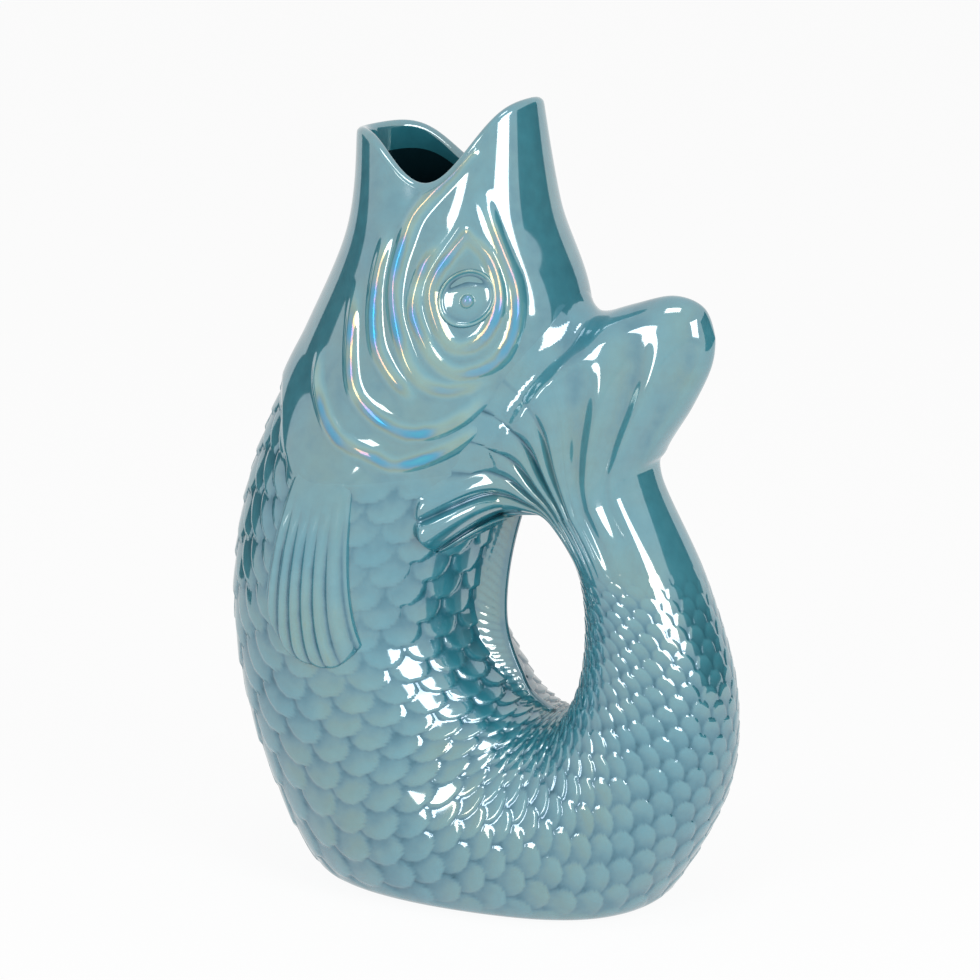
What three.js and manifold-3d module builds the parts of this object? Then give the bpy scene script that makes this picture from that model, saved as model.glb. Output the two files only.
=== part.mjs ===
// Fish-shaped carafe: a slip-cast jug in lustre-glazed stoneware. The fish stands on its belly, pours from
// its open mouth and is carried by its hollow tail, which loops up behind the trunk and ends in a fan.
// Millimetres, +Z up, belly towards -X, back and tail towards +X, alike on both sides of the XZ plane.
// The origin is on the table, in the middle of the flat foot. The fish's left side is -Y.

import * as THREE from 'three';
import { mergeVertices } from 'three/addons/utils/BufferGeometryUtils.js';
import Module from 'manifold-3d';

const { clamp, degToRad, lerp, smoothstep } = THREE.MathUtils;

// The main sizes: the height of the upper lip, the length from chest to tail and the width of the trunk.
// The sections and the edges of the tail fan below are drawn in proportion, and stretched to these.
const HEIGHT = 254.5;
const LENGTH = 168.7;
const WIDTH = 96;

// Sections down the fish from the lips to the waist of the tail. Each is an ellipse across the fish: its
// belly and back ends lie in the XZ plane as x, z, and half is its half width in Y.
const SECTIONS = [
  { at: 'lips', belly: [-48, 243.5], back: [11.5, 254.5], half: 24.5 },
  { at: 'jaw', belly: [-51, 211], back: [16.8, 222], half: 32 },
  { at: 'cheek', belly: [-70.7, 169], back: [27.5, 184], half: 39 },
  { at: 'gill', belly: [-86.5, 126], back: [6, 135], half: 45.5 },
  { at: 'chest', belly: [-90, 85], back: [-6.5, 92], half: 48 },
  { at: 'flank', belly: [-80.3, 38], back: [5, 68], half: 47 },
  { at: 'foot front', belly: [-55, -4], back: [14.5, 61], half: 45 },
  { at: 'foot', belly: [-5, -17.5], back: [20, 60], half: 42.5 },
  { at: 'foot rear', belly: [44, -9], back: [25, 62.5], half: 38 },
  { at: 'rise', belly: [73.5, 32], back: [29.5, 74], half: 30 },
  { at: 'tail', belly: [78.7, 68], back: [30.8, 91.5], half: 25.3 },
  { at: 'wrist', belly: [68.3, 105], back: [27.8, 109], half: 21.8 },
  { at: 'waist', belly: [52.5, 138], back: [18.5, 122], half: 19.5 },
];

// The cast wall, and the slip joint between two pieces that are luted together
const WALL = 4.5;
const JOINT_GAP = 0.3;

// The mouth: how far its corners drop below the lips, where they are round the section, and how far the
// drop reaches round the lips and, in sections, down the head
const MOUTH_DROP = 20;
const MOUTH_CORNER = degToRad(97);
const MOUTH_SPREAD = degToRad(33);
const MOUTH_REACH = 1.6;

// The rolled lip: its radius, and how far down the outer and the inner wall run into it
const LIP_ROUND = 2.6;
const LIP_OUTSIDE = 4;
const LIP_INSIDE = 6.5;

// The round between the belly and the flat foot on the table
const FOOT_ROUND = 7;

// The gill cover: where it ends on the throat and on the flank, in sections from the lips, the angles
// between which its edge runs down, how far it stands proud of the trunk, where it starts to swell, and the
// angles between which it sinks back into the trunk in front of the tail fan
const THROAT_END = 2.1;
const GILL_END = 2.85;
const GILL_TURN = [degToRad(25), degToRad(85)];
const GILL_STEP = 1.2;
const GILL_RUN = 0.35;
const GILL_SINK = [degToRad(98), degToRad(118)];

// The joint between belly and tail handle
const TAIL_JOINT = sectionNumber('rise');

// The scales on the belly: how many go round it, how many rows go down it, how deep the notches between their
// free edges are, and how far above the table they fade in
const SCALES_ROUND = 20;
const SCALE_ROWS = 28;
const SCALE_DEPTH = 0.8;
const SCALES_OFF_TABLE = [1, 8];

// The tail fan in side view: its rear edge from the waist, its under edge over the finger loop, and its far
// edge from the flank past the nape to the rear lobe. Half widths go with the points of the far edge.
const FAN_REAR = [[54, 147], [62.6, 161], [69, 174], [70.8, 184]];
const FAN_UNDER = [[12, 124], [2, 121], [-13, 108]];
const FAN_FAR = [[-13, 128], [-7, 148], [6, 166], [20, 181], [33, 188.5], [45, 193], [57, 196], [66.5, 193]];
const FAN_HALF = [30, 36, 38, 36, 28, 17, 12, 10, 9, 8];

// The fan's form, in shares of its spread from the under edge to the rear edge and of its reach from the
// waist to the far edge: where the full front passes into the flat rear lobe, where the lobe closes to its
// edge, how boxy the front is, the power with which it spreads, and the round of the front's lower tip
const LOBE_TURN = [0.42, 0.62];
const LOBE_CLOSE = 0.8;
const SPREAD_POWER = 1.6;
const FRONT_BOXY = 0.6;
const TIP_SPREAD = 0.12;
const TIP_REACH = 0.3;

// The fan's relief: flutes, the half thickness of its free edge, its thickness on the trunk and at its edge
// there, the round of that edge at the tip and its run-out at the nape, the shares of the spread between
// which one passes into the other and the under edge into the lobe on the flank, and the round with the trunk
const FAN_FLUTES = 9;
const FLUTE_DEPTH = 1.2;
const FAN_EDGE_HALF = 1.2;
const FAN_PROUD = 2.4;
const FAN_EDGE_PROUD = 1;
const TIP_ROUND = 3.6;
const NAPE_RUN = 16;
const TIP_TURN = [0.08, 0.2];
const UNDER_TURN = [0, 0.03];
const FAN_BLEND = 8;
const EDGE_BLEND = 0.5;

// The dorsal fin in the finger loop: its ends in sections, its root and its heights from nape to loop, the
// power by which its crest falls off to the sides, and its spines
const DORSAL_ENDS = [3.2, 6.6];
const DORSAL_ROOT = 13;
const DORSAL_HEIGHTS = [5, 8, 3.8, 1.4, 0.8];
const CREST_POWER = 2.5;
const SPINE_PITCH = 5;
const SPINE_DEPTH = 0.8;

// The pectoral fins: the angles of the root, the tips of the rays as section and angle, and the relief.
// The rounds are shares of the fin's breadth and length.
const PECTORAL_ROOT = [71, 99.5];
const PECTORAL_TIPS = [[3.75, 73.5], [4.12, 84], [4.25, 95], [4.28, 106], [4.12, 118.5]];
const PECTORAL_THICK = 3.2;
const PECTORAL_RAYS = 7;
const RAY_DEPTH = 0.9;
const FIN_EDGE = 0.7;
const FIN_SIDE_ROUND = 0.14;
const FIN_TIP_ROUND = 0.14;

// The eyes: place as section and angle, radii, the height of the dome and of the pupil, and the dome's edge
const EYE_AT = [1.61, 118.5];
const EYE_RADIUS = 8;
const EYE_DOME = 2.2;
const EYE_EDGE = 0.5;
const PUPIL_RADIUS = 2.6;
const PUPIL_RISE = 1.2;

// Facets round a section, two for each scale, and rows of facets along each piece
const ROUND = 2 * SCALES_ROUND;
const FAN_ROUND = 64;
const EYE_ROUND = 24;
const ROWS = { head: 18, lip: 5, throat: 10, bellyInside: 14, tail: 14, tailInside: 9, fan: 14 };
const DORSAL_FACETS = [8, 34];
const PECTORAL_FACETS = [4 * PECTORAL_RAYS, 7];

// Rings of an eye: shares of the pupil's radius, the first ring outside the pupil in radii of it, and shares
// of the way from there to the edge
const PUPIL_RINGS = [0.1, 0.5, 0.85];
const DOME_START = 1.1;
const DOME_RINGS = [0, 0.25, 0.5, 0.75, 1];

const glaze = new THREE.MeshStandardMaterial({ color: 0x6aa3af, roughness: 0.12, metalness: 0.1 });

// Curves and sections

const spline = (points) => new THREE.SplineCurve(points.map(([x, y]) => new THREE.Vector2(x, y)));

// What the drawing is stretched by, and lines through its points and through its half widths.
const drawnX = SECTIONS.flatMap(({ belly, back }) => [belly[0], back[0]]);
const stretchX = LENGTH / (Math.max(...drawnX) - Math.min(...drawnX));
const stretchY = WIDTH / (2 * Math.max(...SECTIONS.map(({ half }) => half)));
const stretchZ = HEIGHT / Math.max(...SECTIONS.map(({ back }) => back[1]));
const sideLine = (points) => spline(points.map(([x, z]) => [x * stretchX, z * stretchZ]));
const widthLine = (halves) => spline(halves.map((half) => [half * stretchY, 0]));

const LAST = SECTIONS.length - 1;
const WRIST = SECTIONS[LAST - 1];
const WAIST = SECTIONS[LAST];

// The lines of the fish have one more point beyond the waist, so that the tail runs on smoothly into its fan.
const bellyLine = sideLine([...SECTIONS.map((section) => section.belly), FAN_REAR[0]]);
const backLine = sideLine([...SECTIONS.map((section) => section.back), FAN_UNDER[0]]);
const halfLine = widthLine([...SECTIONS, WRIST].map((section) => section.half));
const onLine = (line, s) => line.getPoint(clamp(s, 0, LAST) / (LAST + 1));
const halfAt = (s) => onLine(halfLine, s).x;

function sectionNumber(name) {
  return SECTIONS.findIndex((section) => section.at === name);
}

// The larger of two heights, with a round of the given size where they meet.
function softMax(a, b, round) {
  const near = Math.max(round - Math.abs(a - b), 0) / round;
  return Math.max(a, b) + (near * near * round) / 4;
}

// The angle from the belly, the same on both sides of the fish.
function turnFromBelly(theta) {
  return Math.abs(Math.atan2(Math.sin(theta), Math.cos(theta)));
}

// A point of the wall at section s and angle theta from the belly, drawn in by inset from the outside.
function wallPoint(s, theta, inset = 0) {
  const belly = onLine(bellyLine, s);
  const back = onLine(backLine, s);
  const reach = belly.distanceTo(back) / 2;
  const shrink = (reach - inset) / reach;
  const centre = belly.clone().lerp(back, 0.5);
  const arm = belly.clone().sub(centre).multiplyScalar(shrink * Math.cos(theta));
  const fade = smoothstep(MOUTH_REACH - s, 0, MOUTH_REACH);
  const fromCorner = (turnFromBelly(theta) - MOUTH_CORNER) / MOUTH_SPREAD;
  const drop = fade * MOUTH_DROP * Math.exp(-(fromCorner ** 2));
  const half = halfAt(s) - inset;
  const z = softMax(centre.y + arm.y - drop, inset, FOOT_ROUND);
  return new THREE.Vector3(centre.x + arm.x, -half * Math.sin(theta), z);
}

// The tail-ward and outward directions of the skin, and the length of skin in one section.
function skinFrame(s, theta) {
  const step = 0.01;
  const before = Math.max(s - step, 0);
  const after = Math.min(s + step, LAST);
  const along = wallPoint(after, theta).sub(wallPoint(before, theta));
  const around = wallPoint(s, theta + step).sub(wallPoint(s, theta - step));
  const out = new THREE.Vector3().crossVectors(along, around).normalize();
  const rate = along.length() / (after - before);
  return { along: along.normalize(), out, rate };
}

// The skin, moved outward by a distance.
function skin(s, theta, proud = 0) {
  return wallPoint(s, theta).addScaledVector(skinFrame(s, theta).out, proud);
}

// The section that lies a distance along the skin past section s.
function stepAlong(s, theta, distance) {
  return s + distance / skinFrame(s, theta).rate;
}

// The edge of the gill cover, in sections: high on the throat, low on the flank.
function gillEdge(theta) {
  return lerp(THROAT_END, GILL_END, smoothstep(turnFromBelly(theta), ...GILL_TURN));
}

// The head's skin, which swells in its own sections towards the edge of the gill cover.
function headSkin(s, theta, proud = 0) {
  const edge = gillEdge(theta);
  const sunk = smoothstep(turnFromBelly(theta), ...GILL_SINK);
  const swell = GILL_STEP * (1 - sunk) * smoothstep(s, edge - GILL_RUN, edge);
  return wallPoint(s, theta, -swell).addScaledVector(skinFrame(s, theta).out, proud);
}

// Rings and lofts

// A ring has an even number of points, which face each other in pairs.
function ring(count, pointAt) {
  const even = 2 * Math.round(count / 2);
  return Array.from({ length: even }, (_, i) => pointAt((i / even) * 2 * Math.PI, i));
}

function rows(count, rowAt) {
  const whole = Math.round(count);
  return Array.from({ length: whole }, (_, i) => rowAt(i / (whole - 1), i));
}

// A closed surface through rings of equal length. An endless one joins its last ring to its first, and
// another gets end caps, in strips between the points that face each other across the ring.
function loft(rings, endless = false) {
  const n = rings[0].length;
  const faces = [];
  const quad = (a, b, c, d) => faces.push(a, b, c, a, c, d);
  const bands = endless ? rings.length : rings.length - 1;
  for (let i = 0; i < bands; i++) {
    const here = i * n;
    const next = ((i + 1) % rings.length) * n;
    for (let j = 0; j < n; j++) {
      const k = (j + 1) % n;
      quad(here + j, here + k, next + k, next + j);
    }
  }
  if (!endless) {
    const last = (rings.length - 1) * n;
    for (let j = 0; j < n / 2 - 1; j++) {
      quad(n - 1 - j, n - 2 - j, j + 1, j);
      quad(last + j, last + j + 1, last + n - 2 - j, last + n - 1 - j);
    }
  }
  const points = rings.flat();
  const geometry = new THREE.BufferGeometry();
  geometry.setAttribute('position', new THREE.Float32BufferAttribute(points.flatMap((p) => p.toArray()), 3));
  geometry.setIndex(signedVolume(points, faces) < 0 ? faces.reverse() : faces);
  geometry.computeVertexNormals();
  return geometry;
}

function signedVolume(points, faces) {
  let volume = 0;
  const normal = new THREE.Vector3();
  for (let i = 0; i < faces.length; i += 3) {
    normal.crossVectors(points[faces[i + 1]], points[faces[i + 2]]);
    volume += points[faces[i]].dot(normal) / 6;
  }
  return volume;
}

// A pad on the skin: a patch of it, from its seat up to a thickness that varies over the patch. The place
// function gives section, angle and thickness for u across and v along.
function pad([across, along], side, place, seat = JOINT_GAP) {
  const layer = (v, isTop) => Array.from({ length: across + 1 }, (_, i) => {
    const spot = place(i / across, v);
    return skin(spot.s, side * spot.theta, isTop ? JOINT_GAP + spot.thick : seat);
  });
  return loft(rows(along + 1, (v) => [...layer(v, true), ...layer(v, false).reverse()]));
}

// A quarter round: 0 at the edge, 1 from a distance inwards.
function quarterRound(inwards, distance) {
  const left = 1 - clamp(inwards / distance, 0, 1);
  return Math.sqrt(1 - left * left);
}

// Booleans

const wasm = await Module();
wasm.setup();

function solid(geometry) {
  const bare = new THREE.BufferGeometry();
  bare.setAttribute('position', geometry.getAttribute('position').clone());
  bare.setIndex(geometry.getIndex().clone());
  const merged = mergeVertices(bare);
  const vertProperties = new Float32Array(merged.getAttribute('position').array);
  const triVerts = new Uint32Array(merged.getIndex().array);
  return new wasm.Manifold(new wasm.Mesh({ numProp: 3, vertProperties, triVerts }));
}

function geometryOf(body) {
  const mesh = body.getMesh();
  const geometry = new THREE.BufferGeometry();
  geometry.setAttribute('position', new THREE.Float32BufferAttribute(mesh.vertProperties, 3));
  geometry.setIndex(Array.from(mesh.triVerts));
  geometry.computeVertexNormals();
  return geometry;
}

// The head: an open-ended shell from the gill cover up to the rolled lip and down inside
function headShell() {
  const outside = rows(ROWS.head, (t) => ring(ROUND, (theta) => {
    return headSkin(lerp(gillEdge(theta), stepAlong(0, theta, LIP_OUTSIDE), t), theta);
  }));
  const lip = rows(ROWS.lip, (t) => ring(ROUND, (theta) => {
    const { along, out } = skinFrame(0, theta);
    const centre = wallPoint(0, theta).addScaledVector(along, LIP_ROUND).addScaledVector(out, -LIP_ROUND);
    centre.addScaledVector(out, LIP_ROUND * Math.cos(t * Math.PI));
    return centre.addScaledVector(along, -LIP_ROUND * Math.sin(t * Math.PI));
  }));
  const inside = rows(ROWS.throat, (t) => ring(ROUND, (theta) => {
    return wallPoint(lerp(stepAlong(0, theta, LIP_INSIDE), gillEdge(theta), t), theta, WALL);
  }));
  return loft([...outside, ...lip, ...inside], true);
}

// The belly: a shell from the gill cover round the flat foot to the tail joint. Every other point of a row is
// the tip of a scale, staggered from row to row, and the points between them are the notches.
function bellyShell() {
  const section = (t, theta) => lerp(stepAlong(gillEdge(theta), theta, JOINT_GAP), TAIL_JOINT, t);
  const outside = rows(SCALE_ROWS, (t, row) => ring(ROUND, (theta, column) => {
    const s = section(t, theta);
    const isPlain = t === 0 || t === 1 || (row + column) % 2 === 0;
    const depth = SCALE_DEPTH * smoothstep(wallPoint(s, theta).z, ...SCALES_OFF_TABLE);
    return skin(s, theta, isPlain ? 0 : -depth);
  }));
  const inside = rows(ROWS.bellyInside, (t) => ring(ROUND, (theta) => {
    return wallPoint(section(t, theta), theta, WALL);
  }));
  return loft([...outside, ...inside.reverse()], true);
}

// The tail handle: a tube from the belly up behind the finger loop to the waist of the tail
function tailHandle() {
  const start = (theta) => stepAlong(TAIL_JOINT, theta, JOINT_GAP);
  const end = (theta) => stepAlong(LAST, theta, -JOINT_GAP);
  const tube = (count, inset) => rows(count, (t) => ring(ROUND, (theta) => {
    return wallPoint(lerp(start(theta), end(theta), t), theta, inset);
  }));
  return loft([...tube(ROWS.tail, 0), ...tube(ROWS.tailInside, WALL).reverse()], true);
}

// The half width of the trunk, grown by proud all round, at a place in side view, and 0 outside it. The
// search halves the stretch of sections that holds the place until it is far finer than a facet.
function trunkHalf(x, z, proud) {
  const fineEnough = 1e-6;
  const ends = (s) => [onLine(bellyLine, s), onLine(backLine, s)];
  let above = 0;
  let below = sectionNumber('foot front');
  while (below - above > fineEnough) {
    const middle = (above + below) / 2;
    const [belly, back] = ends(middle);
    const under = (back.x - belly.x) * (z - belly.y) < (back.y - belly.y) * (x - belly.x);
    if (under) above = middle;
    else below = middle;
  }
  const [belly, back] = ends(above);
  const centre = belly.clone().lerp(back, 0.5);
  const share = new THREE.Vector2(x, z).distanceTo(centre) / (centre.distanceTo(back) + proud);
  return share < 1 ? (halfAt(above) + proud) * Math.sqrt(1 - share * share) : 0;
}

// The trunk with its joint gap, as a solid that cuts the seat of the tail fan
function trunkCutter() {
  const strip = (count, place) => rows(count, (t) => ring(ROUND, (turn) => place(t, turn + Math.PI / ROUND)));
  const edge = (theta) => stepAlong(gillEdge(theta), theta, JOINT_GAP);
  const top = sectionNumber('jaw');
  const bottom = sectionNumber('foot front');
  const head = strip(ROWS.head, (t, theta) => headSkin(lerp(top, edge(theta), t), theta, JOINT_GAP));
  const belly = strip(SCALE_ROWS, (t, theta) => skin(lerp(edge(theta), bottom, t), theta, JOINT_GAP));
  return loft([...head, ...belly]);
}

// The tail fan: from the waist it spreads over the flank, up to the nape and back into the rear lobe. In
// side view it is a patch between four edges, by share of the spread and of the reach.
function tailFan() {
  const fromWaist = (before, points, reach) => {
    const line = sideLine([before, ...points]);
    return line.getPoint((1 + reach * (points.length - 1)) / points.length);
  };
  const rear = (reach) => fromWaist(WRIST.belly, [WAIST.belly, ...FAN_REAR], reach);
  const under = (reach) => fromWaist(WRIST.back, [WAIST.back, ...FAN_UNDER], reach);
  const far = sideLine([FAN_UNDER.at(-1), ...FAN_FAR, FAN_REAR.at(-1)]);
  const halves = widthLine(FAN_HALF);
  const across = (reach, share) => under(reach).lerp(rear(reach), share);
  const middle = (reach, share) => {
    const along = across(0, share).lerp(far.getPoint(share), reach);
    const corners = across(0, share).lerp(across(1, share), reach);
    return along.add(across(reach, share)).sub(corners);
  };
  const fan = loft(rows(ROWS.fan, (t) => ring(FAN_ROUND, (turn) => {
    const theta = turn + Math.PI / FAN_ROUND;
    const share = (1 + Math.cos(theta)) / 2;
    const out = Math.sin((t * Math.PI) / 2);
    const reach = out * (1 - TIP_REACH * (1 - quarterRound(share, TIP_SPREAD)));
    const spot = middle(reach, share);
    const inwards = (1 - out) * far.getPoint(share).distanceTo(across(0, share));
    const runOut = smoothstep(inwards, 0, NAPE_RUN);
    const lobeRound = quarterRound(1 - reach, 1 - LOBE_CLOSE);
    const closing = lerp(runOut, lobeRound, smoothstep(share, ...LOBE_TURN));
    const flute = FLUTE_DEPTH * reach * Math.cos(2 * Math.PI * FAN_FLUTES * share);
    const half = lerp(halfAt(LAST), halves.getPoint(share).x, reach ** SPREAD_POWER) + flute;
    const power = 1 - FRONT_BOXY * reach * clamp(1 - share / LOBE_TURN[1], 0, 1);
    const own = half * Math.abs(Math.sin(theta)) ** power;
    const rise = lerp(quarterRound(inwards, TIP_ROUND), runOut, smoothstep(share, ...TIP_TURN));
    const proud = lerp(FAN_EDGE_PROUD, FAN_PROUD + flute, rise);
    const trunk = trunkHalf(spot.x, spot.y, proud);
    const over = softMax(lerp(trunk, own, closing), trunk, lerp(EDGE_BLEND, FAN_BLEND, runOut));
    const onTrunk = lerp(own, over, smoothstep(share, ...UNDER_TURN));
    const y = trunk > 0 ? onTrunk : Math.max(own * closing, FAN_EDGE_HALF);
    return new THREE.Vector3(spot.x, -Math.sign(Math.sin(theta)) * y, spot.y);
  })));
  return geometryOf(solid(fan).subtract(solid(trunkCutter())).subtract(solid(dorsalFin(JOINT_GAP))));
}

// The dorsal fin: a low keel down the back with slanting spines on its sides. With room it is the solid that
// cuts its place out of the tail fan.
function dorsalFin(room = 0) {
  const heights = spline(DORSAL_HEIGHTS.map((height) => [height, 0]));
  const [first, last] = DORSAL_ENDS;
  const length = onLine(backLine, first).distanceTo(onLine(backLine, last));
  const start = stepAlong(first, Math.PI, -room);
  return pad(DORSAL_FACETS, 1, (u, v) => {
    const s = lerp(start, last, v);
    const share = Math.max((s - first) / (last - first), 0);
    const across = 2 * u - 1;
    const spread = Math.asin((across * (DORSAL_ROOT / 2 + room)) / halfAt(s));
    const side = Math.abs(across) * (1 - Math.abs(across));
    const spine = SPINE_DEPTH * side * Math.cos((2 * Math.PI * share * length) / SPINE_PITCH);
    const height = heights.getPoint(share).x * (1 - Math.abs(across) ** CREST_POWER) + spine;
    return { s, theta: Math.PI + spread, thick: Math.max(height, FIN_EDGE) + room };
  }, JOINT_GAP - 2 * room);
}

// A pectoral fin: a flat fan of rays laid on the flank behind the gill cover
function pectoralFin(side) {
  const tips = spline(PECTORAL_TIPS);
  return pad(PECTORAL_FACETS, side, (u, v) => {
    const rootAngle = degToRad(lerp(...PECTORAL_ROOT, u));
    const root = stepAlong(gillEdge(rootAngle), rootAngle, 2 * JOINT_GAP);
    const tip = tips.getPoint(u);
    const s = lerp(root, tip.x, v);
    const theta = lerp(rootAngle, degToRad(tip.y), v);
    const edge = quarterRound(Math.min(u, 1 - u), FIN_SIDE_ROUND) * quarterRound(1 - v, FIN_TIP_ROUND);
    const ray = RAY_DEPTH * (Math.abs(Math.cos(Math.PI * PECTORAL_RAYS * u)) - 1);
    return { s, theta, thick: FIN_EDGE + edge * (PECTORAL_THICK - FIN_EDGE + ray) };
  });
}

// An eye: a low dome with a raised pupil, in rings from the middle out and back under
function eye(side) {
  const [s0, angle] = EYE_AT;
  const theta0 = degToRad(angle);
  const rate = skinFrame(s0, theta0).rate;
  const half = halfAt(s0);
  const disc = (radius, thick) => ring(EYE_ROUND, (turn) => {
    const bearing = turn + Math.PI / EYE_ROUND;
    const s = s0 + (radius * Math.sin(bearing)) / rate;
    const theta = theta0 + (radius * Math.cos(bearing)) / half;
    return skin(s, side * theta, JOINT_GAP + thick);
  });
  const dome = (radius) => {
    const round = EYE_DOME * quarterRound(EYE_RADIUS - radius, EYE_RADIUS);
    const pupil = PUPIL_RISE * Math.max(1 - (radius / PUPIL_RADIUS) ** 2, 0);
    return EYE_EDGE + round + pupil;
  };
  const pupilRadii = PUPIL_RINGS.map((share) => share * PUPIL_RADIUS);
  const domeRadii = DOME_RINGS.map((share) => lerp(DOME_START * PUPIL_RADIUS, EYE_RADIUS, share));
  const radii = [...pupilRadii, ...domeRadii];
  const top = radii.map((radius) => disc(radius, dome(radius)));
  const bottom = radii.filter((_, i) => i % 2 === 1).reverse().map((radius) => disc(radius, 0));
  return loft([...top, ...bottom]);
}

// The assembly

const carafe = new THREE.Group();
carafe.name = 'fish_carafe';

function add(name, geometry) {
  const mesh = new THREE.Mesh(geometry, glaze.clone());
  mesh.name = name;
  carafe.add(mesh);
}

add('head_shell', headShell());
add('belly_shell', bellyShell());
add('tail_handle', tailHandle());
add('tail_fan', tailFan());
add('dorsal_fin', dorsalFin());
for (const [name, side] of [['left', 1], ['right', -1]]) {
  add(`pectoral_fin_${name}`, pectoralFin(side));
  add(`eye_${name}`, eye(side));
}

export default carafe;
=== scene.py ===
"""Fish-shaped carafe in lustre-glazed stoneware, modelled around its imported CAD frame.

The fish is one swept skin with sections from the lips to the waist of the tail, each an ellipse across it.
A place on the skin is a running section number s and an angle theta, which starts at the belly and goes over
the fish's left side (-Y) to the back. Forms are worked out in millimetres, and the meshes are in metres.
"""

import math

import bmesh
import bpy
import numpy as np
from bpy.props import FloatProperty, FloatVectorProperty, IntProperty, PointerProperty
from mathutils import Matrix, Vector
from mathutils.bvhtree import BVHTree


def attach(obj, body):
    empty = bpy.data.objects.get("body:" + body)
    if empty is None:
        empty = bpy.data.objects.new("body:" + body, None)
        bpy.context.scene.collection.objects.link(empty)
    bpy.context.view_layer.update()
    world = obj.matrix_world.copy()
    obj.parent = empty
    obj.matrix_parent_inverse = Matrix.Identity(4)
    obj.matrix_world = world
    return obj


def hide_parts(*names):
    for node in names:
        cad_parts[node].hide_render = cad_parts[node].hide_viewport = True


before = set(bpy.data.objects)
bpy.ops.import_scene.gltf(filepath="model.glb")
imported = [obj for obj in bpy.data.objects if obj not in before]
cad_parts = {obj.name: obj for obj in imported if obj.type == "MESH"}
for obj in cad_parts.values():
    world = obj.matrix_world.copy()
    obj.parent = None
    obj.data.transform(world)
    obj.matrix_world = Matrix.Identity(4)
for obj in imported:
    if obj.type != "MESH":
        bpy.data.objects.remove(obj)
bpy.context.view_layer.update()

bl_info = {
    "name": "Fish Carafe",
    "version": (1, 0, 0),
    "blender": (4, 5, 0),
    "location": "View3D > Sidebar > Carafe",
    "description": "Models a fish-shaped carafe with a lustre glaze around its CAD frame",
    "category": "Object",
}

MM = 0.001

# The form of the fish, in millimetres, mostly with the frame's own sizes

# Sections from the lips to the waist of the tail: belly end and back end as x, z, and the half width.
# FOOT_FRONT, TAIL_JOINT and WAIST are numbers of sections.
SECTIONS = [
    (-48, 243.5, 11.5, 254.5, 24.5),  # lips
    (-51, 211, 16.8, 222, 32),  # jaw
    (-70.7, 169, 27.5, 184, 39),  # cheek
    (-86.5, 126, 6, 135, 45.5),  # gill
    (-90, 85, -6.5, 92, 48),  # chest
    (-80.3, 38, 5, 68, 47),  # flank
    (-55, -4, 14.5, 61, 45),  # foot front
    (-5, -17.5, 20, 60, 42.5),  # foot
    (44, -9, 25, 62.5, 38),  # foot rear
    (73.5, 32, 29.5, 74, 30),  # rise
    (78.7, 68, 30.8, 91.5, 25.3),  # tail
    (68.3, 105, 27.8, 109, 21.8),  # wrist
    (52.5, 138, 18.5, 122, 19.5),  # waist
]
FOOT_FRONT = 6
TAIL_JOINT = 9
WAIST = len(SECTIONS) - 1
WALL = 4.5

# The mouth's corners drop below the lips; the lip is a roll; the belly is flat on the table
MOUTH_DROP = 20
MOUTH_CORNER = math.radians(97)
MOUTH_SPREAD = math.radians(33)
MOUTH_REACH = 1.6
LIP_ROUND = 2.1
LIP_INSIDE = 6.5
FOOT_ROUND = 7

# The gill cover ends higher on the throat than on the flank and stands proud of the trunk. It falls off to
# the trunk over some millimetres and sinks into it in front of the tail fan.
THROAT_END = 2.1
GILL_END = 2.85
GILL_TURN = (math.radians(25), math.radians(85))
GILL_STEP = 1.2
GILL_RUN = 0.35
GILL_SINK = (math.radians(98), math.radians(118))
GILL_FALL = 6

# The tail fan in side view: rear edge and under edge from the waist, far edge from the flank to the rear.
# A share of its spread is 0 at the under edge, in front, and 1 at the rear edge.
FAN_REAR = [(54, 147), (62.6, 161), (69, 174), (70.8, 184)]
FAN_UNDER = [(12, 124), (2, 121), (-13, 108)]
FAN_FAR = [(-13, 128), (-7, 148), (6, 166), (20, 181), (33, 188.5), (45, 193), (57, 196), (66.5, 193)]
FAN_HALF = [30, 36, 38, 36, 28, 17, 12, 10, 9, 8]
# Over LOBE_TURN the fan turns into a free rear lobe, which closes beyond LOBE_CLOSE of its length. FRONT_BOXY
# fills out its front, the tip is its front corner, and the blends are with the trunk.
LOBE_TURN = (0.42, 0.62)
LOBE_CLOSE = 0.8
FRONT_BOXY = 0.6
TIP_SPREAD = 0.12
TIP_REACH = 0.3
FAN_BLEND = 8
EDGE_BLEND = 0.5
BLEND_START = 12
LEAST_BLEND = 0.01
TIP_TURN = (0.08, 0.2)
UNDER_TURN = (0, 0.03)

# The dorsal fin's ends in sections, its root and its heights; the pectoral fins' roots, tips and thickness
DORSAL_ENDS = (3.2, 6.6)
DORSAL_ROOT = 13
DORSAL_HEIGHTS = [5, 8, 3.8, 1.4, 0.8]
PECTORAL_ROOT = (71, 99.5)
PECTORAL_TIPS = [(3.75, 73.5), (4.12, 84), (4.25, 95), (4.28, 106), (4.12, 118.5)]
PECTORAL_THICK = 3.2
PECTORAL_RAYS = 7
FIN_SIDE_ROUND = 0.14
FIN_TIP_ROUND = 0.14

# The eye's place, and its half length along the fish and half breadth round it
EYE_AT = (1.6, 119)
EYE_HALF = (9.0, 7.6)

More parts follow.
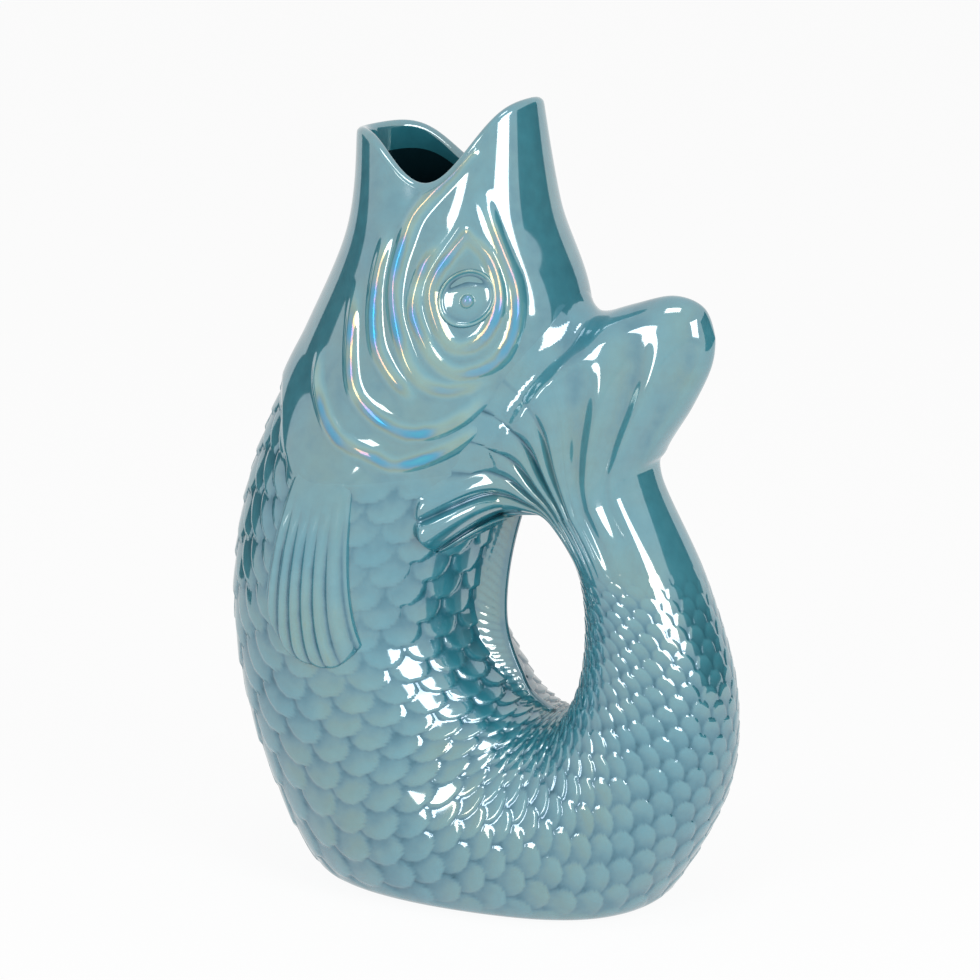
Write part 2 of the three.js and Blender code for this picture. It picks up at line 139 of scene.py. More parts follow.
# The carved cheek, from the upper jaw and the throat round the eye: for each ridge the share of its length
# over which it rises, and its line as section and angle in degrees. RIDGE_END is the share over which it
# falls, and LIP_PLAIN the sections under the lip over which the ridges start.
CHEEK_RIDGES = {
    "jaw": (0.04, [
        (0.12, 127), (0.12, 114), (0.26, 101), (0.56, 91), (1.0, 87), (1.5, 87), (2.0, 98), (2.22, 111),
        (2.26, 126), (2.2, 135)]),
    "cheek": (0.22, [(0.75, 76.5), (1.36, 77), (1.78, 82), (2.05, 91), (2.33, 109)]),
    "gill": (0.22, [(1.35, 65), (1.66, 69), (2.13, 79), (2.38, 94), (2.53, 113), (2.48, 128), (2.27, 137)]),
    "gill cover": (0.18, [
        (1.85, 55), (2.13, 62), (2.5, 82), (2.68, 104), (2.74, 115), (2.66, 130), (2.5, 142)]),
    "eye socket": (0, [
        (1.05, 121), (1.2, 113), (1.39, 106), (1.58, 104), (1.86, 110), (1.98, 118), (1.9, 127),
        (1.64, 132), (1.32, 130), (1.05, 121)]),
    "brow": (0.15, [
        (0.8, 117), (1.13, 104), (1.36, 99), (1.61, 97), (1.81, 101), (2.05, 110), (2.16, 122), (2.06, 135),
        (1.66, 139.5), (1.31, 137), (0.87, 132), (0.6, 128)]),
}
RIDGE_END = 0.16
LIP_PLAIN = 0.1

# Facets: rows along each piece and columns round it
HEAD_ROWS = 185
HEAD_COLUMNS = 400
LIP_ROWS = 12
INSIDE_ROWS = 30
ROWS_PER_SCALE = 8
POINTS_PER_SCALE = 16
FAN_ROWS = 130
FAN_COLUMNS = 640
SEAT_ROWS = 80
SEAT_COLUMNS = 96
DORSAL_ROWS = 220
DORSAL_SIDE_COLUMNS = 40
DORSAL_UNDER_COLUMNS = 8
PECTORAL_ROWS = 110
PECTORAL_COLUMNS = 150
PECTORAL_UNDER_STEP = 6
EYE_ROWS = 60
EYE_COLUMNS = 120

# How finely curves and the skin are measured, the least length of a vector, and a weld's reach in metres
RIDGE_POINTS = 48
GIRTH_ROWS = 2000
GIRTH_COLUMNS = 90
TRUNK_ROWS = 420
TRUNK_COLUMNS = 720
HALVINGS = 24
NEAR_ZERO = 1e-9
WELD = 1e-6

# The relief tone that the glaze's colour and lustre film follow: near 0 in hollows, near 1 on edges, and
# OPEN_TONE on plain skin. Low tones paint hollows dark, as pooled glaze and painted shade; high tones paint
# edges pale, as thin glaze and painted highlight. A RISE is how much of it goes with the full height of a
# form.
OPEN_TONE = 0.5
CHEEK_TONE = 0.45
RIDGE_RISE = 0.55
SCALE_RISE = 0.24
GROOVE_RISE = 0.35
DORSAL_TONE = 0.38
SPINE_RISE = 0.2
RAY_RISE = 0.4
UNDER_TONE = 0.4
EYE_TONE = 0.2
EYE_RISE = 0.4


def linear(code):
    """An sRGB hex colour as linear red, green and blue."""
    parts = [int(code[i:i + 2], 16) / 255 for i in (0, 2, 4)]
    return [c / 12.92 if c <= 0.04045 else ((c + 0.055) / 1.055) ** 2.4 for c in parts]


# Values in the sidebar

def number(name, description, default, **kind):
    return FloatProperty(name=name, description=description, default=default, **kind)


def length(name, description, millimetres):
    return number(name, description, millimetres * MM, unit="LENGTH")


def angle(name, description, degrees):
    return number(name, description, math.radians(degrees), subtype="ANGLE")


def colour(name, description, code):
    return FloatVectorProperty(
        name=name, description=description, default=linear(code), min=0, max=1, subtype="COLOR")


class CarafeSizes(bpy.types.PropertyGroup):
    """Sizes of the relief on the skin."""

    scales_round: IntProperty(
        name="Scales round", description="Scales round the trunk and the tail", default=20, min=8, max=40)
    scale_lift: length("Scale lift", "Height of a scale's free edge over the next row", 0.55)
    scale_edge: length("Scale edge", "Round of a scale's free edge", 1.0)
    ridge_height: length("Ridge height", "Height of the carved ridges on the cheek", 1.6)
    ridge_width: length("Ridge width", "Half width of the carved ridges on the cheek", 4.0)
    flute_depth: length("Flute depth", "Depth of the flutes on the tail fan", 2.4)
    fan_proud: length("Fan thickness", "Thickness of the tail fan where it lies on the flank", 2.4)
    ray_depth: length("Ray depth", "Depth between the rays of the pectoral fins", 1.1)
    spine_pitch: length("Spine pitch", "Distance between the spines of the dorsal fin", 3.0)
    spine_depth: length("Spine depth", "Height of the spines on the sides of the dorsal fin", 0.45)


class CarafeGlaze(bpy.types.PropertyGroup):
    """Colours of the glaze; the pooled colour also paints shade in hollows and the thin colour also paints
    highlight on edges.
    """

    body: colour("Glaze", "Colour of the glaze on open surfaces", "327f8e")
    # The glaze pooled in hollows, darkened further as painted shade there
    pool: colour("Pooled glaze and painted shade", "Colour where the glaze runs together in hollows", "1c4f5c")
    # The glaze thin over edges, lightened further as painted highlight there
    thin: colour("Thin glaze and painted highlight", "Colour where the glaze draws thin over edges", "5c9eaa")
    # The glaze inside the jug, painted dark as the shade in there
    inside: colour("Inside glaze painted as shade", "Colour of the glaze inside the jug", "0b262d")


class CarafeStage(bpy.types.PropertyGroup):
    """The camera and the light."""

    bearing: angle("Bearing", "Camera's bearing from the fish's left side towards its tail", 25)
    elevation: angle("Elevation", "Camera's angle above the table", 13)
    distance: length("Distance", "Camera's distance from its target", 1000)
    lens: number("Lens", "Focal length in millimetres", 116.08, unit="CAMERA")
    room_light: number("Room light", "Light from all round, where 1 is white", 0.45)
    box_light: number("Softbox light", "Brightness of the softboxes, where 1 is white", 6.0)


# Curves and the skin

def through(points, place):
    """A smooth curve through points, at a running point number."""
    points = np.asarray(points, float)
    start = np.clip(np.floor(place).astype(int), 0, len(points) - 2)
    f = (np.asarray(place) - start)[..., None]
    before = points[np.maximum(start - 1, 0)]
    here = points[start]
    after = points[start + 1]
    beyond = points[np.minimum(start + 2, len(points) - 1)]
    tangent = (after - before) / 2
    next_tangent = (beyond - here) / 2
    return (here + tangent * f + (3 * (after - here) - 2 * tangent - next_tangent) * f ** 2
            + (2 * (here - after) + tangent + next_tangent) * f ** 3)


def smooth(value, low, high):
    """0 up to low, 1 from high, and a soft rise between them."""
    share = np.clip((value - low) / (high - low), 0, 1)
    return share * share * (3 - 2 * share)


def soft_max(a, b, width):
    """The larger of two values, rounded where they differ by less than a width."""
    near = np.maximum(width - np.abs(a - b), 0) / width
    return np.maximum(a, b) + near * near * width / 4


def quarter_round(inwards, distance):
    """0 at an edge, 1 from a distance inwards, as a quarter circle."""
    left = 1 - np.clip(inwards / distance, 0, 1)
    return np.sqrt(1 - left * left)


def mix(a, b, share):
    return a + (b - a) * share


# The sections with one more beyond the waist, so that the tail runs on smoothly into its fan
FORM = SECTIONS + [(*FAN_REAR[0], *FAN_UNDER[0], SECTIONS[WAIST - 1][4])]


def turn_from_belly(theta):
    return np.abs(np.arctan2(np.sin(theta), np.cos(theta)))


def wall(s, theta, inset=0.0):
    """Points of the wall, drawn in by inset from the outside."""
    s, theta = np.broadcast_arrays(np.asarray(s, float), np.asarray(theta, float))
    form = through(FORM, np.clip(s, 0, WAIST))
    belly = form[..., 0:2]
    back = form[..., 2:4]
    arm = (belly - back) / 2
    shrink = 1 - inset / np.linalg.norm(arm, axis=-1)
    spot = (belly + back) / 2 + arm * (shrink * np.cos(theta))[..., None]
    corner = (turn_from_belly(theta) - MOUTH_CORNER) / MOUTH_SPREAD
    drop = smooth(MOUTH_REACH - s, 0, MOUTH_REACH) * MOUTH_DROP * np.exp(-corner ** 2)
    z = soft_max(spot[..., 1] - drop, inset, FOOT_ROUND)
    return np.stack([spot[..., 0], -(form[..., 4] - inset) * np.sin(theta), z], axis=-1)


def unit(vectors):
    return vectors / np.maximum(np.linalg.norm(vectors, axis=-1, keepdims=True), NEAR_ZERO)


def skin_frame(s, theta):
    """Tailward and outward directions of the skin, and the length of skin in one section."""
    step = 0.01
    before = np.maximum(s - step, 0)
    after = np.minimum(s + step, WAIST)
    along = wall(after, theta) - wall(before, theta)
    around = wall(s, theta + step) - wall(s, theta - step)
    rate = np.linalg.norm(along, axis=-1) / (after - before)
    return unit(along), unit(np.cross(along, around)), rate


def outward(points):
    """Outward directions on rows of points that follow one another towards the tail."""
    along = np.gradient(points, axis=0)
    around = np.roll(points, -1, axis=1) - np.roll(points, 1, axis=1)
    return unit(np.cross(along, around))


def skin(s, theta, proud):
    """Points over the skin, at a height above it."""
    out = skin_frame(s, theta)[1]
    return wall(s, theta) + out * np.asarray(proud)[..., None]


def gill_edge(theta):
    return mix(THROAT_END, GILL_END, smooth(turn_from_belly(theta), *GILL_TURN))


def gill_swell(theta):
    """How far the edge of the gill cover stands out from the trunk."""
    return GILL_STEP * (1 - smooth(turn_from_belly(theta), *GILL_SINK))


# The rows next to a joint are this share of the others, so that the light runs on across it
RIM = 0.02


def rows_between(first, last, count):
    """Evenly spaced rows, with a very thin row at both ends."""
    rows = np.linspace(first, last, count)
    thin = RIM * (rows[1] - rows[0])
    return np.concatenate([[first], [first + thin], rows[1:-1], [last - thin], [last]])


def angles(count):
    return np.arange(count) * 2 * np.pi / count


# Pieces

def add_object(name, data):
    made = bpy.data.objects.new(name, data)
    bpy.context.scene.collection.objects.link(made)
    return made


def add_form(name, form):
    """A new object with a finished form as its mesh."""
    mesh = bpy.data.meshes.new(name)
    form.to_mesh(mesh)
    form.free()
    return add_object(name, mesh)


def loft(name, points, relief, endless=False, inside=(0, 0), sharp=()):
    """A closed, glazed piece through rows of points in millimetres. Bands of rows in inside take the inside
    glaze, which is painted dark as the shade inside the jug, and the rows in sharp keep a crisp edge. Rows
    that end in one point close the piece there."""
    rows, columns = points.shape[:2]
    bands = rows if endless else rows - 1
    form = bmesh.new()
    bmesh.ops.create_grid(form, x_segments=columns, y_segments=bands, size=0.5)
    tone = form.verts.layers.float.new("relief")
    for face in form.faces:
        band = int((face.calc_center_median().y + 0.5) * bands)
        face.material_index = int(inside[0] <= band < inside[1])
        face.smooth = True
    sharp = set(sharp)
    for edge in form.edges:
        ends = {round((vertex.co.y + 0.5) * bands) % rows for vertex in edge.verts}
        edge.smooth = not (len(ends) == 1 and ends <= sharp)
    places = points * MM
    for vertex in form.verts:
        spot = (round((vertex.co.y + 0.5) * bands) % rows, round((vertex.co.x + 0.5) * columns) % columns)
        vertex[tone] = relief[spot]
        vertex.co = places[spot]
    bmesh.ops.remove_doubles(form, verts=form.verts[:], dist=WELD)
    if form.calc_volume(signed=True) < 0:
        bmesh.ops.reverse_faces(form, faces=form.faces[:])
    piece = add_form(name, form)
    piece.data.materials.append(finish("fired_lustre", lustre_glaze))
    if any(inside):
        piece.data.materials.append(finish("fired_inside_painted_shade", inside_painted_shade))
    return piece


def doubled_ends(relief):
    """Relief with its end rows once more, for the rows that close a piece."""
    return np.pad(relief, ((1, 1), (0, 0)), mode="edge")


def capped(rings):
    """Rings with the middles of the end ones as rows that close the piece."""
    ends = [np.broadcast_to(ring.mean(axis=0), ring.shape)[None] for ring in (rings[0], rings[-1])]
    return np.concatenate([ends[0], rings, ends[1]])


def place_piece(piece, node):
    """Ties a finished piece to the frame."""
    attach(piece, "root")
    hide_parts(node)


def sizes():
    """The relief's lengths in millimetres, by name."""
    group = bpy.context.scene.carafe_sizes
    return {name: getattr(group, name) / MM for name in group.__annotations__ if name != "scales_round"}


# The head

def ridge(points, path, width, rising):
    """1 on a path of points and 0 from a width away, as a cosine. Unless nothing of it is rising, as in a
    loop, its ends are tapered."""
    nearest = np.full(points.shape[:-1], np.inf)
    place = np.zeros_like(nearest)
    for number in range(len(path) - 1):
        step = path[number + 1] - path[number]
        share = np.clip((points - path[number]) @ step / (step @ step), 0, 1)
        gap = np.linalg.norm(points - path[number] - share[..., None] * step, axis=-1)
        closer = gap < nearest
        nearest = np.where(closer, gap, nearest)
        place = np.where(closer, (number + share) / (len(path) - 1), place)
    taper = smooth(place, 0, rising) * smooth(1 - place, 0, RIDGE_END) if rising else 1.0
    return taper * np.cos(np.clip(nearest / width, 0, 1) * np.pi / 2) ** 2


def cheek_relief(points, width):
    """Height share of the carved cheek: the highest of its ridges, alike on both sides."""
    folded = points * np.where(points[..., 1:2] > 0, (1, -1, 1), 1)
    relief = np.zeros(points.shape[:-1])
    for rising, corners in CHEEK_RIDGES.values():
        stops = np.array(corners)
        line = through(stops, np.linspace(0, len(stops) - 1, RIDGE_POINTS))
        path = wall(line[:, 0], np.radians(line[:, 1]))
        relief = np.maximum(relief, ridge(folded, path, width, rising))
    return relief


def build_head():
    """The head, down its outside to the gill cover, up inside it and over the lip."""
    size = sizes()
    theta = angles(HEAD_COLUMNS)
    edge = gill_edge(theta)
    along, out, rate = skin_frame(np.zeros_like(theta), theta)
    start = LIP_ROUND / rate
    down = rows_between(0, 1, HEAD_ROWS)[:, None]
    s = mix(start, edge, down)
    swell = gill_swell(theta) * smooth(s, edge - GILL_RUN, edge)
    outside = wall(s, theta, -swell)
    carving = cheek_relief(outside, size["ridge_width"]) * smooth(s, start, start + LIP_PLAIN)
    outside = outside + outward(outside) * (carving * size["ridge_height"])[..., None]
    up = np.linspace(0, 1, INSIDE_ROWS)[:, None]
    throat = wall(mix(edge, start * LIP_INSIDE / LIP_ROUND, up), theta, WALL)
    over = np.linspace(np.pi, 0, LIP_ROWS)[:-1, None, None]
    lip = wall(0, theta) + LIP_ROUND * (along * (1 - np.sin(over)) + out * (np.cos(over) - 1))
    points = np.concatenate([outside, throat, lip])
    plain = np.full((len(throat) + len(lip), HEAD_COLUMNS), OPEN_TONE)
    # Tone of the cheek: paler on the carved ridges as painted highlight, darker between them as painted shade
    relief = np.concatenate([CHEEK_TONE + RIDGE_RISE * carving, plain])
    joint = len(down) - 1
    inside = (joint, joint + INSIDE_ROWS)
    return loft("head_glazed", points, relief, True, inside, (joint, joint + 1))


# The scaled skin of the belly and the tail

def scale_rows():
    """The running number of scale rows for a fine list of sections. A row is half as long as a scale is wide,
    and a whole number of rows goes from the gill cover to the tail joint."""
    s = np.linspace(THROAT_END, WAIST, GIRTH_ROWS)
    rings = wall(s[:, None], angles(GIRTH_COLUMNS))
    girth = np.linalg.norm(rings - np.roll(rings, 1, axis=1), axis=-1).sum(axis=1)
    rate = skin_frame(s, np.full_like(s, np.pi / 2))[2]
    density = rate * 2 * bpy.context.scene.carafe_sizes.scales_round / girth
    rows = np.concatenate([[0], np.cumsum((density[1:] + density[:-1]) / 2 * np.diff(s))])
    rows = rows - np.interp(GILL_END, s, rows)
    length = np.interp(TAIL_JOINT, s, rows)
    return s, rows * round(length) / length


# How far down the trunk, in sections, the rows of scales still bend with the edge of the gill cover
ROW_BEND = 3.9


def section_of_row(row, theta):
    """The section at which each row of scales crosses each angle."""
    s, rows = scale_rows()
    found = np.empty((len(row), len(theta)))
    for column, edge in enumerate(gill_edge(theta)):
        bend = 1 - smooth(s, edge, edge + ROW_BEND)
        found[:, column] = np.interp(row, rows - bend * np.interp(edge, s, rows), s)
    return found


# A scale lies level at this share of its row, and its sides lie lower by this share of its lift
SCALE_LEVEL = 0.5
SCALE_ARCH = 0.3


def scale_relief(row, across, half_width, lift, edge_round):
    """Height of overlapping scales: each rises tailwards, and its round free edge lies on the next row."""
    height = np.full(np.broadcast(row, across).shape, -np.inf)
    for later in (0, 1):
        number = np.floor(row) + later
        shift = np.mod(number, 2) / 2
        aside = 2 * (across - shift - np.round(across - shift))
        inwards = (1 - np.hypot(aside, np.maximum(row - number, 0))) * half_width
        rise = lift * (row - number - SCALE_LEVEL) - SCALE_ARCH * lift * aside ** 2
        drop = lift * (1 - quarter_round(inwards, edge_round))
        height = np.maximum(height, np.where(inwards > 0, rise - drop, -np.inf))
    return height


# Where the scales lie flatter: in the first row, near the end of the tail, near the table, and on the flank
# behind the fins, where the place and its spread are a section and an angle
FIRST_SCALES = (0, 0.6)
SCALES_END = (10.7, 11.35)
SCALES_OFF_TABLE = (1, 8)
FLAT_FLANK = (3.7, 112)
FLAT_SPREAD = (0.9, 24)
FLAT_SHARE = 0.5
# The half width of a scale that has its full lift, and how fast smaller ones lie flatter
FULL_SCALE = 6.5
SMALL_FLATTER = 1.4


def scaled_skin(first, last, rows):
    """Rows of points on the scaled skin, with their relief and their sections, between two scale rows."""
    size = sizes()
    count = bpy.context.scene.carafe_sizes.scales_round
    theta = angles(count * POINTS_PER_SCALE)
    row = rows_between(first, last, rows)
    s = section_of_row(row, theta)
    past_gill = (s - gill_edge(theta)) * skin_frame(s, theta)[2]
    base = wall(s, theta, -gill_swell(theta) * (1 - smooth(past_gill, 0, GILL_FALL)))
    half = np.linalg.norm(np.roll(base, -1, axis=1) - base, axis=-1).mean(axis=1) * POINTS_PER_SCALE / 2
    across = np.arange(len(theta)) / POINTS_PER_SCALE
    lift = size["scale_lift"] * (half[:, None] / FULL_SCALE) ** SMALL_FLATTER
    height = scale_relief(row[:, None], across, half[:, None], lift, size["scale_edge"])
    aside = (np.degrees(turn_from_belly(theta)) - FLAT_FLANK[1]) / FLAT_SPREAD[1]
    flat = FLAT_SHARE * np.exp(-((s - FLAT_FLANK[0]) / FLAT_SPREAD[0]) ** 2 - aside ** 2)
    show = (1 - smooth(s, *SCALES_END)) * smooth(base[..., 2], *SCALES_OFF_TABLE) * (1 - flat)
    show = show * smooth(row[:, None], *FIRST_SCALES)
    points = base + outward(base) * (height * show)[..., None]
    # Tone of the scales: darker in the hollows between them as pooled glaze and painted shade, paler on their
    # free edges as thin glaze and painted highlight
    relief = OPEN_TONE + SCALE_RISE * np.clip(height / lift, -1, 1) * show
    return theta, s, points, relief


def shell(name, theta, s, points, relief):
    """A hollow piece with a given outside and a plain inside."""
    share = np.linspace(1, 0, INSIDE_ROWS)[:, None]
    inside = wall(mix(s[0], s[-1], share), theta, WALL)
    every = np.concatenate([points, inside])
    tones = np.concatenate([relief, np.full(inside.shape[:2], OPEN_TONE)])
    last = len(points) - 1
    return loft(name, every, tones, True, (last, len(every)), (0, last, last + 1, len(every) - 1))


def joint_rows():
    """Scale row numbers at the tail joint and at the waist."""
    s, rows = scale_rows()
    return np.interp(TAIL_JOINT, s, rows), rows[-1]


def build_belly():
    """The scaled belly, from the gill cover to the tail joint."""
    joint, _ = joint_rows()
    theta, s, points, relief = scaled_skin(0, joint, round(joint * ROWS_PER_SCALE) + 1)
    return shell("belly_glazed", theta, s, points, relief)


# The number of flutes over the whole spread. They start on the tail, have part of their depth at the waist
# and all of it a little way up the fan. On the rear lobe they turn into broad waves.
FAN_FLUTES = 15
GROOVE_POWER = 0.7
FLUTES_START = 10.9
WAIST_FLUTES = 0.45
FLUTES_FULL = (0, 0.35)
FLUTES_END = (0.3, 0.5)
REAR_WAVES = 5
REAR_DEPTH = 0.8
# Where up the fan the grooves are painted dark, as pooled glaze and painted shade, and the share of that
# between the waves of the rear lobe
POOL_AND_SHADE_FULL = (0, 0.4)
REAR_POOL_AND_SHADE = 0.35


def flute(share):
    """Height share of the fan's flutes: rounds with narrow grooves between, and waves on the rear lobe."""
    front = 2 * np.abs(np.cos(np.pi * FAN_FLUTES * share)) ** GROOVE_POWER - 1
    rear = REAR_DEPTH * np.cos(2 * np.pi * REAR_WAVES * share)
    return mix(front, rear, smooth(share, *FLUTES_END))


def build_tail():
    """The tail, from its joint to the waist, where scales give way to flutes."""
    joint, end = joint_rows()
    theta, s, points, relief = scaled_skin(joint, end, round((end - joint) * ROWS_PER_SCALE) + 1)
    depth = sizes()["flute_depth"] * WAIST_FLUTES * smooth(s, FLUTES_START, WAIST)
    lines = flute((1 + np.cos(theta)) / 2)
    points[..., 1] -= depth * lines * np.sin(theta)
    return shell("tail_handle_glazed", theta, s, points, relief)


# The tail fan

def trunk_half(x, z, proud):
    """The half width of the trunk, grown by proud all round, at places in side view, and 0 outside it."""
    above = np.zeros_like(x)
    below = np.full_like(x, FOOT_FRONT)
    for _ in range(HALVINGS):
        middle = (above + below) / 2
        form = through(FORM, middle)
        reach = form[..., 2:4] - form[..., 0:2]
        under = reach[..., 0] * (z - form[..., 1]) < reach[..., 1] * (x - form[..., 0])
        above = np.where(under, middle, above)
        below = np.where(under, below, middle)
    form = through(FORM, above)
    centre = (form[..., 0:2] + form[..., 2:4]) / 2
    reach = np.linalg.norm(form[..., 2:4] - centre, axis=-1) + proud
    share = np.hypot(x - centre[..., 0], z - centre[..., 1]) / reach
    return (form[..., 4] + proud) * np.sqrt(np.clip(1 - share ** 2, 0, 1))


# How the fan comes down on the trunk, in millimetres. At the front it is a raised lobe, whose edge is rounded
# and sinks a little. Over LOBE_END, in shares of the spread, it turns to dive into the trunk with a fillet.
TIP_ROUND = 3.6
EDGE_SINK = 1.0
LOBE_END = (0.12, 0.26)
NAPE_RUN = 16
NAPE_FADE = (6, 30)
DIVE = 6
FAN_FILLET = 11
SEAT_DEPTH = 1.2
SPREAD_POWER = 1.6
# The part of the trunk that the fan can meet, in sections
TRUNK_SPAN = (0.8, 6.5)
# The fillet's outer edge: how far it ends under the skin, from what share of the fillet on it sinks, and how
# fast it gets there. The last two keep the fillet within bounds where fan and trunk are nearly parallel.
FEATHER = 0.4
FEATHER_START = 0.6
FEATHER_RATE = 2
SPREAD_LIMITS = (0.03, 1.7)
LEAST_SINE = 0.25


def soft_step(size, gap, spread):
    """How far a surface moves out where another one is a gap away, so that a fillet of that size joins them.
    Spread is 1 less the cosine between their directions."""
    near = np.maximum(size - gap, 0)
    reach = 2 * size - spread * near
    return (reach - np.sqrt(np.maximum(reach ** 2 - (spread * near) ** 2, 0))) / spread ** 2


def trunk_finder():
    """A function from places to the nearest spots on the trunk's skin and the directions outwards there."""
    rings = wall(np.linspace(*TRUNK_SPAN, TRUNK_ROWS)[:, None], angles(TRUNK_COLUMNS))
    corners = np.arange(TRUNK_ROWS * TRUNK_COLUMNS).reshape(TRUNK_ROWS, TRUNK_COLUMNS)
    here = corners[:-1]
    below = corners[1:]
    quads = np.stack([here, np.roll(here, -1, 1), np.roll(below, -1, 1), below], axis=-1).reshape(-1, 4)
    trunk = BVHTree.FromPolygons(rings.reshape(-1, 3).tolist(), quads.tolist())
    inner = rings.reshape(-1, 3).mean(axis=0)

    def nearest(places):
        found = [trunk.find_nearest(place)[:2] for place in places.reshape(-1, 3).tolist()]
        spots = np.array([spot for spot, _ in found]).reshape(places.shape)
        away = np.array([direction for _, direction in found]).reshape(places.shape)
        return spots, away * np.sign(np.sum(away * (spots - inner), axis=-1, keepdims=True))

    return nearest


def fillet_to_trunk(points, size):
    """Points of the fan moved out to a fillet of varying size with the trunk. Beyond the valley they walk
    over the trunk's skin, away from the fan, and run out there like a feather."""
    nearest = trunk_finder()
    spots, away = nearest(points)
    out = outward(points)
    height = np.sum((points - spots) * away, axis=-1)
    spread = np.clip(1 - np.sum(out * away, axis=-1), *SPREAD_LIMITS)
    valley = spread * size / 4
    outside = points + out * soft_step(size, height, spread)[..., None]
    sine = np.maximum(np.sqrt(spread * (2 - spread)), LEAST_SINE)
    lane = unit(out - (1 - spread)[..., None] * away)
    target = valley + FEATHER_RATE * np.maximum(valley - height, 0)
    walk = np.clip((target + height * (1 - spread)) / sine, 0, 2 * size)
    spots, away = nearest(spots + lane * walk[..., None])
    lift = soft_step(size, target, spread) - FEATHER * smooth(target, FEATHER_START * size, size)
    inside = spots + away * lift[..., None]
    inside = mix(inside, points, smooth(-height, size, 2 * size)[..., None])
    return np.where((height >= valley)[..., None], outside, inside)


def fan_edge(line, share):
    """A curve that starts at the second of its points, so that it carries on the tail's line."""
    return through(line, 1 + share * (len(line) - 2))


def fan_in_side_view(share, reach):
    """The fan's places in side view, filled in between its edges, and its length from waist to far edge."""
    waist = SECTIONS[WAIST]
    wrist = SECTIONS[WAIST - 1]
    rear = fan_edge([wrist[0:2], waist[0:2], *FAN_REAR], reach)
    under = fan_edge([wrist[2:4], waist[2:4], *FAN_UNDER], reach)
    far_line = [FAN_UNDER[-1], *FAN_FAR, FAN_REAR[-1]]
    far = through(far_line, share * (len(far_line) - 1))
    share = share[..., None]
    reach = reach[..., None]
    start = mix(np.array(waist[2:4]), np.array(waist[0:2]), share)
    end = mix(np.array(FAN_UNDER[-1]), np.array(FAN_REAR[-1]), share)
    spot = mix(start, far, reach) + mix(under, rear, share) - mix(start, end, reach)
    return spot, np.linalg.norm(far - start, axis=-1)


def cut_seat(fan):
    """Cuts the trunk out of the fan, a little under the trunk's skin."""
    points = capped(wall(np.linspace(*TRUNK_SPAN, SEAT_ROWS)[:, None], angles(SEAT_COLUMNS), SEAT_DEPTH))
    cutter = loft("fan_seat", points, np.full(points.shape[:2], OPEN_TONE))
    cut = fan.modifiers.new("seat", "BOOLEAN")
    cut.operation = "DIFFERENCE"
    cut.solver = "EXACT"
    cut.object = cutter
    cut_mesh = bpy.data.meshes.new_from_object(fan.evaluated_get(bpy.context.evaluated_depsgraph_get()))
    fan.modifiers.remove(cut)
    bpy.data.objects.remove(cutter)
    fan.data = cut_mesh


def build_fan():
    """The fan, joined to the trunk by a fillet and cut to it underneath."""
    size = sizes()
    theta = angles(FAN_COLUMNS)
    share = np.broadcast_to((1 + np.cos(theta)) / 2, (FAN_ROWS, FAN_COLUMNS))
    run = np.sin(np.linspace(0, 1, FAN_ROWS)[:, None] * np.pi / 2)
    reach = run * (1 - TIP_REACH * (1 - quarter_round(share, TIP_SPREAD)))
    spot, length = fan_in_side_view(share, reach)
    inwards = (1 - run) * length
    run_out = smooth(inwards, 0, NAPE_RUN)

    lines = flute(share)
    fading = mix(1, smooth(inwards, *NAPE_FADE), smooth(share, *TIP_TURN))
    depth = size["flute_depth"] * mix(WAIST_FLUTES, 1, smooth(reach, *FLUTES_FULL)) * fading
    halves = through(np.array(FAN_HALF)[:, None], share * (len(FAN_HALF) - 1))[..., 0]
    half = mix(SECTIONS[WAIST][4], halves, reach ** SPREAD_POWER) + depth * lines
    power = 1 - FRONT_BOXY * reach * np.clip(1 - share / LOBE_TURN[1], 0, 1)
    own = half * np.abs(np.sin(theta)) ** power
    closing = mix(run_out, quarter_round(1 - reach, 1 - LOBE_CLOSE), smooth(share, *LOBE_TURN))

    rise = mix(quarter_round(inwards, TIP_ROUND), run_out, smooth(share, *TIP_TURN))
    dive = smooth(share, *LOBE_END)
    proud = mix(mix(-EDGE_SINK, size["fan_proud"] + depth * lines, rise), -DIVE, dive)
    trunk = trunk_half(spot[..., 0], spot[..., 1], proud)
    blend = mix(EDGE_BLEND, FAN_BLEND * smooth(trunk, 0, BLEND_START), run_out)
    over = soft_max(mix(trunk, own, closing), trunk, np.maximum(blend, LEAST_BLEND))
    on_trunk = mix(own, over, smooth(share, *UNDER_TURN))
    y = np.where(trunk > 0, on_trunk, own * closing)
    points = np.stack([spot[..., 0], -np.sign(np.sin(theta)) * y, spot[..., 1]], axis=-1)
    points = fillet_to_trunk(points, np.maximum(FAN_FILLET * dive, FEATHER))
    middle = points * (1, 0, 1)
    points = np.concatenate([middle[:1], points, middle[-1:]])

    # The fan's grooves are painted dark, as pooled glaze and painted shade
    pooling_and_shade = mix(1, REAR_POOL_AND_SHADE, smooth(share, *FLUTES_END))
    groove = np.minimum(lines, 0) * pooling_and_shade * smooth(reach, *POOL_AND_SHADE_FULL)
    fan = loft("tail_fan_glazed", points, doubled_ends(OPEN_TONE + GROOVE_RISE * groove), sharp=(1,))
    cut_seat(fan)
    return fan


# The fins

# How deep the fins are set into the skin. The dorsal fin's sides climb in a hollow to a rounded crest, and
# its spines start and end at shares of the climb.
FIN_SEAT = 1.0
CREST_HALF = 1.3
CREST_ROUND = 0.16
ROOT_HOLLOW = 2.2
SPINE_SLANT = 0.9
SPINES_START = (0.05, 0.25)
SPINES_END = (0.6, 0.85)


